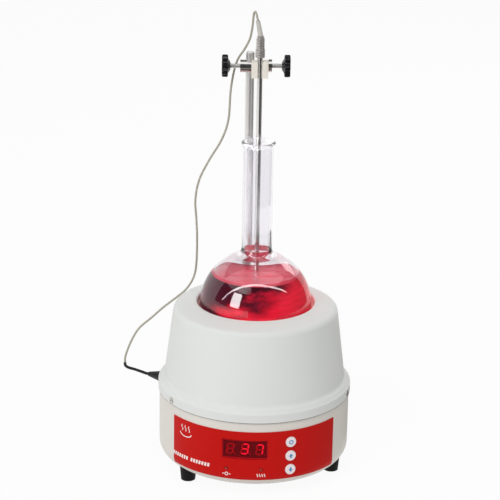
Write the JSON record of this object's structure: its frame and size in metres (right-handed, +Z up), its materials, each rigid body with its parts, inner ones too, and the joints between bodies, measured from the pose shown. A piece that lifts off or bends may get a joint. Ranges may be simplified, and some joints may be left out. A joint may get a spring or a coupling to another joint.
{
  "type": "heating mantle",
  "caption": "Digital heating mantle with a round-bottom flask of liquid in its knitted cup, and a temperature probe clamped to a cranked support rod.",
  "frame": {"origin": "on the cup's axis, at the plane the feet stand on", "axes": "+Z up along the cup's axis; -Y towards the front, where the control panel is; +X to the right seen from the front"},
  "size_m": [0.219, 0.1824, 0.4358],
  "materials": {
    "housing": "satin enamel, warm white",
    "cover": "satin enamel, white",
    "panel": "printed panel, satin red",
    "window": "tinted window, glossy",
    "display": "moulded display, satin",
    "lamp": "tinted lens",
    "key": "satin white",
    "board": "circuit board",
    "dark_plastic": "moulded black",
    "terminal": "moulded green",
    "rocker": "moulded red",
    "rubber": "matt black",
    "zinc": "plated fasteners",
    "plate": "brushed sheet",
    "core": "laminated core",
    "spun": "spun sheet",
    "block": "satin",
    "polished": "polished",
    "sheath": "polished tube",
    "brass": "turned",
    "glass": "clear borosilicate",
    "liquid": "clear red liquid",
    "knit": "knitted glass yarn",
    "wool": "felted ceramic fibre",
    "boot": "moulded grey",
    "cable": "grey jacket",
    "sleeve": "black sleeve"
  },
  "bodies": {
    "root": {"lower_housing": "housing", "upper_cover": "cover", "cover_screws": "zinc", "front_left_foot": "rubber", "front_right_foot": "rubber", "rear_foot": "rubber", "foot_screws": "zinc", "foot_nuts": "zinc", "control_panel": "panel", "display_window": "window", "display_board": "board", "display_module": "display", "set_lamp": "lamp", "heat_lamp": "lamp", "key_board": "board", "key_switches": "dark_plastic", "power_board": "board", "board_standoffs": "brass", "transformer": "core", "triac_heatsink": "spun", "terminal_block": "terminal", "rear_plate": "plate", "power_inlet": "dark_plastic", "inlet_pins": "brass", "fuse_holder": "dark_plastic", "switch_body": "dark_plastic", "heat_shield": "spun", "support_pillars": "zinc", "pillar_nuts": "zinc", "inner_bowl": "spun", "insulation": "wool", "heating_cup": "knit", "flask": "glass", "liquid": "liquid", "rod_socket": "polished", "rod_socket_nut": "zinc", "support_rod": "polished", "probe_socket": "dark_plastic", "probe_socket_nut": "zinc", "probe_plug": "dark_plastic", "cable_sleeve": "sleeve", "probe_cable": "cable"},
    "set_key": {"set_key": "key"},
    "up_key": {"up_key": "key"},
    "down_key": {"down_key": "key"},
    "power_rocker": {"power_rocker": "rocker"},
    "clamp": {"rod_boss": "polished", "clamp_block": "block", "probe_boss": "polished"},
    "rod_thumbscrew": {"rod_screw": "polished", "rod_knob": "dark_plastic"},
    "probe_thumbscrew": {"probe_screw": "polished", "probe_knob": "dark_plastic"},
    "probe": {"probe_sheath": "sheath", "probe_handle": "sheath", "probe_boot": "boot"}
  },
  "joints": [
    {"name": "set_key_press", "type": "slide", "parent": "root", "child": "set_key", "axis": [-0.3795, 0.9252, 0], "range_m": [0, 0.0004], "stiffness_N_per_m": 1500},
    {"name": "up_key_press", "type": "slide", "parent": "root", "child": "up_key", "axis": [-0.3795, 0.9252, 0], "range_m": [0, 0.0004], "stiffness_N_per_m": 1500},
    {"name": "down_key_press", "type": "slide", "parent": "root", "child": "down_key", "axis": [-0.3795, 0.9252, 0], "range_m": [0, 0.0004], "stiffness_N_per_m": 1500},
    {"name": "rocker_swing", "type": "hinge", "parent": "root", "child": "power_rocker", "pos_m": [0.017, 0.07726, 0.0395], "axis": [1, 0, 0], "range_deg": [0, 16]},
    {"name": "clamp_slide", "type": "slide", "parent": "root", "child": "clamp", "axis": [0, 0, 1], "range_m": [-0.04, 0.003]},
    {"name": "probe_slide", "type": "slide", "parent": "root", "child": "probe", "axis": [0, 0, 1], "range_m": [-0.003, 0.06], "deforming": ["probe_cable"]},
    {"name": "rod_thumbscrew_turn", "type": "hinge", "parent": "clamp", "child": "rod_thumbscrew", "pos_m": [-0.027, 0.0185, 0.383], "axis": [-1, 0, 0], "range_deg": [0, 360]},
    {"name": "probe_thumbscrew_turn", "type": "hinge", "parent": "clamp", "child": "probe_thumbscrew", "pos_m": [0.0198, 0.007, 0.3864], "axis": [1, 0, 0], "range_deg": [0, 360]}
  ]
}
